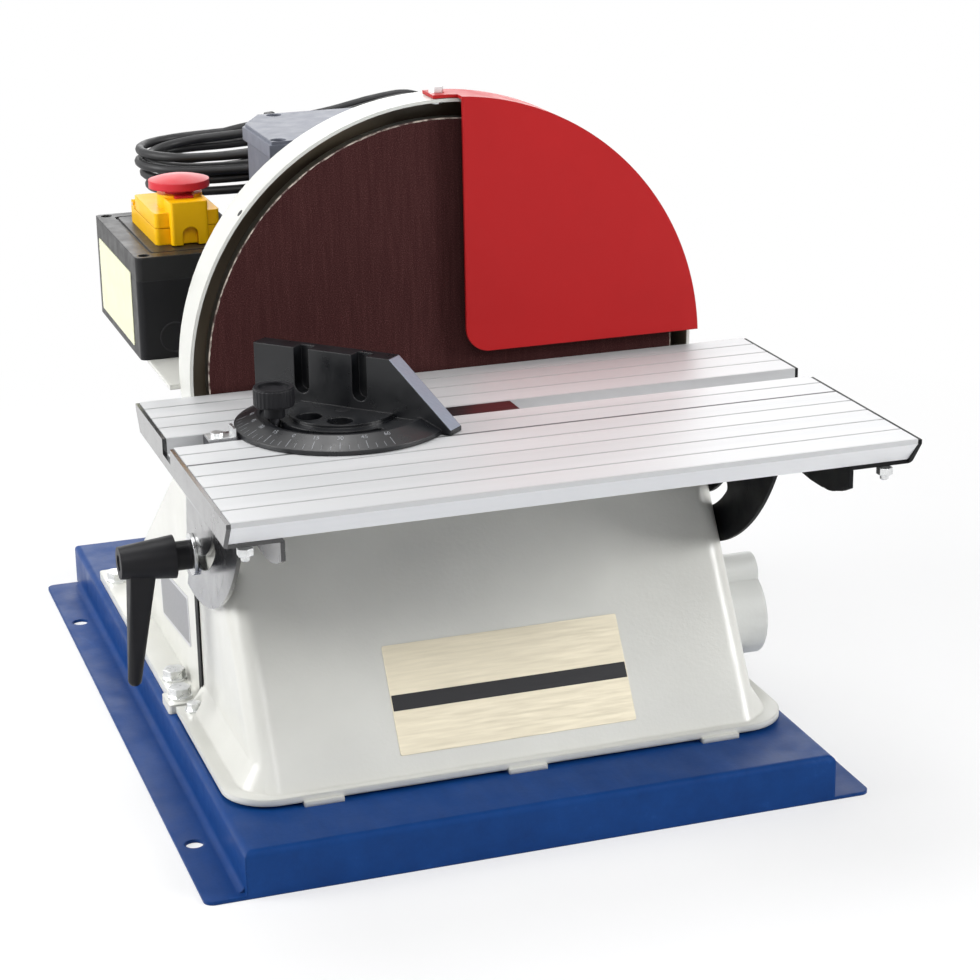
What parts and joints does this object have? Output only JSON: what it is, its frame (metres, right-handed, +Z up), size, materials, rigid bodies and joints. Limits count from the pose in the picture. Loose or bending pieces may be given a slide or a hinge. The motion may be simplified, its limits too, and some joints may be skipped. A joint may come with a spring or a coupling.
{
  "type": "benchtop disc sander",
  "caption": "Benchtop disc sander on a blue sheet tray, with a tilting grooved table, mitre gauge, red half guard, finned motor and coiled mains cord.",
  "frame": {"origin": "middle of the four bench holes, on the bench", "axes": "X to the operator's right along the table, Y to the back along the motor, Z up"},
  "size_m": [0.418, 0.604, 0.4168],
  "materials": {
    "blue_paint": "satin",
    "cream_paint": "satin",
    "red_paint": "gloss",
    "motor_grey": "satin",
    "black_gloss": "gloss",
    "black_satin": "satin",
    "winding": "matte",
    "grey_plastic": "matte",
    "black_plastic": "matte",
    "yellow_plastic": "satin",
    "red_plastic": "gloss",
    "green_plastic": "gloss",
    "black_rubber": "matte",
    "cast_aluminium": "satin",
    "table_aluminium": "satin",
    "abrasive": "rough",
    "dark_steel": "satin",
    "bright_steel": "satin",
    "zinc_steel": "satin"
  },
  "bodies": {
    "frame": {"base_tray": "blue_paint", "front_housing": "cream_paint", "disc_housing": "cream_paint", "rear_stand": "cream_paint", "dust_port": "cream_paint", "disc_guard": "red_paint", "guard_screws": "zinc_steel", "foot_bolts": "zinc_steel", "housing_screws": "zinc_steel", "pivot_bolts": "zinc_steel", "clamp_stud": "zinc_steel", "guide_bolt": "zinc_steel", "motor_flange": "motor_grey", "motor_frame": "motor_grey", "motor_stator": "winding", "motor_rear_shield": "motor_grey", "fan_cover": "motor_grey", "flange_screws": "zinc_steel", "front_bearing": "zinc_steel", "rear_bearing": "zinc_steel", "terminal_box": "grey_plastic", "terminal_lid": "grey_plastic", "terminal_screws": "zinc_steel", "switch_bracket": "cream_paint", "switch_box": "black_plastic", "switch_lid": "black_plastic", "switch_lid_screws": "zinc_steel", "switch_base": "yellow_plastic", "flap_pin": "zinc_steel", "cord_gland": "black_rubber", "mains_lead": "black_rubber", "cord_coil": "black_rubber", "plug_lead": "black_rubber", "mains_plug": "black_rubber", "plug_pins": "zinc_steel"},
    "spindle": {"motor_shaft": "bright_steel", "motor_rotor": "bright_steel", "cooling_fan": "black_plastic", "disc_plate": "cast_aluminium", "abrasive_disc": "abrasive", "hub_screw": "zinc_steel"},
    "table": {"table_plate": "table_aluminium", "left_bracket": "black_gloss", "right_bracket": "black_gloss", "table_bolts": "zinc_steel"},
    "lever": {"lock_lever": "black_plastic", "lever_screw": "dark_steel"},
    "gauge_slide_body": {"gauge_bar": "dark_steel", "gauge_pointer": "zinc_steel"},
    "gauge_swing_body": {"gauge_head": "black_satin"},
    "knob": {"gauge_knob": "black_plastic"},
    "flap": {"switch_flap": "yellow_plastic", "flap_latch": "red_plastic"},
    "stop": {"stop_button": "red_plastic"},
    "start": {"start_button": "green_plastic"},
    "off": {"off_button": "red_plastic"}
  },
  "joints": [
    {"name": "spindle_spin", "type": "hinge", "parent": "frame", "child": "spindle", "pos_m": [0, -0.082, 0.2485], "axis": [0, 1, 0], "continuous": true},
    {"name": "table_tilt", "type": "hinge", "parent": "frame", "child": "table", "pos_m": [0, -0.088, 0.2165], "axis": [1, 0, 0], "range_deg": [0, 45]},
    {"name": "lever_turn", "type": "hinge", "parent": "frame", "child": "lever", "pos_m": [-0.187, -0.08284, 0.14268], "axis": [1, 0, 0], "range_deg": [-60, 60]},
    {"name": "gauge_slide", "type": "slide", "parent": "table", "child": "gauge_slide_body", "axis": [1, 0, 0], "range_m": [-0.02, 0.2]},
    {"name": "gauge_swing", "type": "hinge", "parent": "gauge_slide_body", "child": "gauge_swing_body", "pos_m": [-0.092, -0.1725, 0.243], "axis": [0, 0, 1], "range_deg": [-103, 17]},
    {"name": "knob_turn", "type": "hinge", "parent": "gauge_slide_body", "child": "knob", "pos_m": [-0.132, -0.1725, 0.255], "axis": [0, 0, 1], "range_deg": [-180, 180]},
    {"name": "flap_hinge", "type": "hinge", "parent": "frame", "child": "flap", "pos_m": [-0.1325, 0.115, 0.321], "axis": [-1, 0, 0], "range_deg": [0, 60]},
    {"name": "stop_press", "type": "slide", "parent": "flap", "child": "stop", "axis": [0, 0, -1], "range_m": [0, 0.003], "stiffness_N_per_m": 400},
    {"name": "start_press", "type": "slide", "parent": "frame", "child": "start", "axis": [0, 0, -1], "range_m": [0, 0.0025], "stiffness_N_per_m": 400},
    {"name": "off_press", "type": "slide", "parent": "frame", "child": "off", "axis": [0, 0, -1], "range_m": [0, 0.0025], "stiffness_N_per_m": 400}
  ]
}
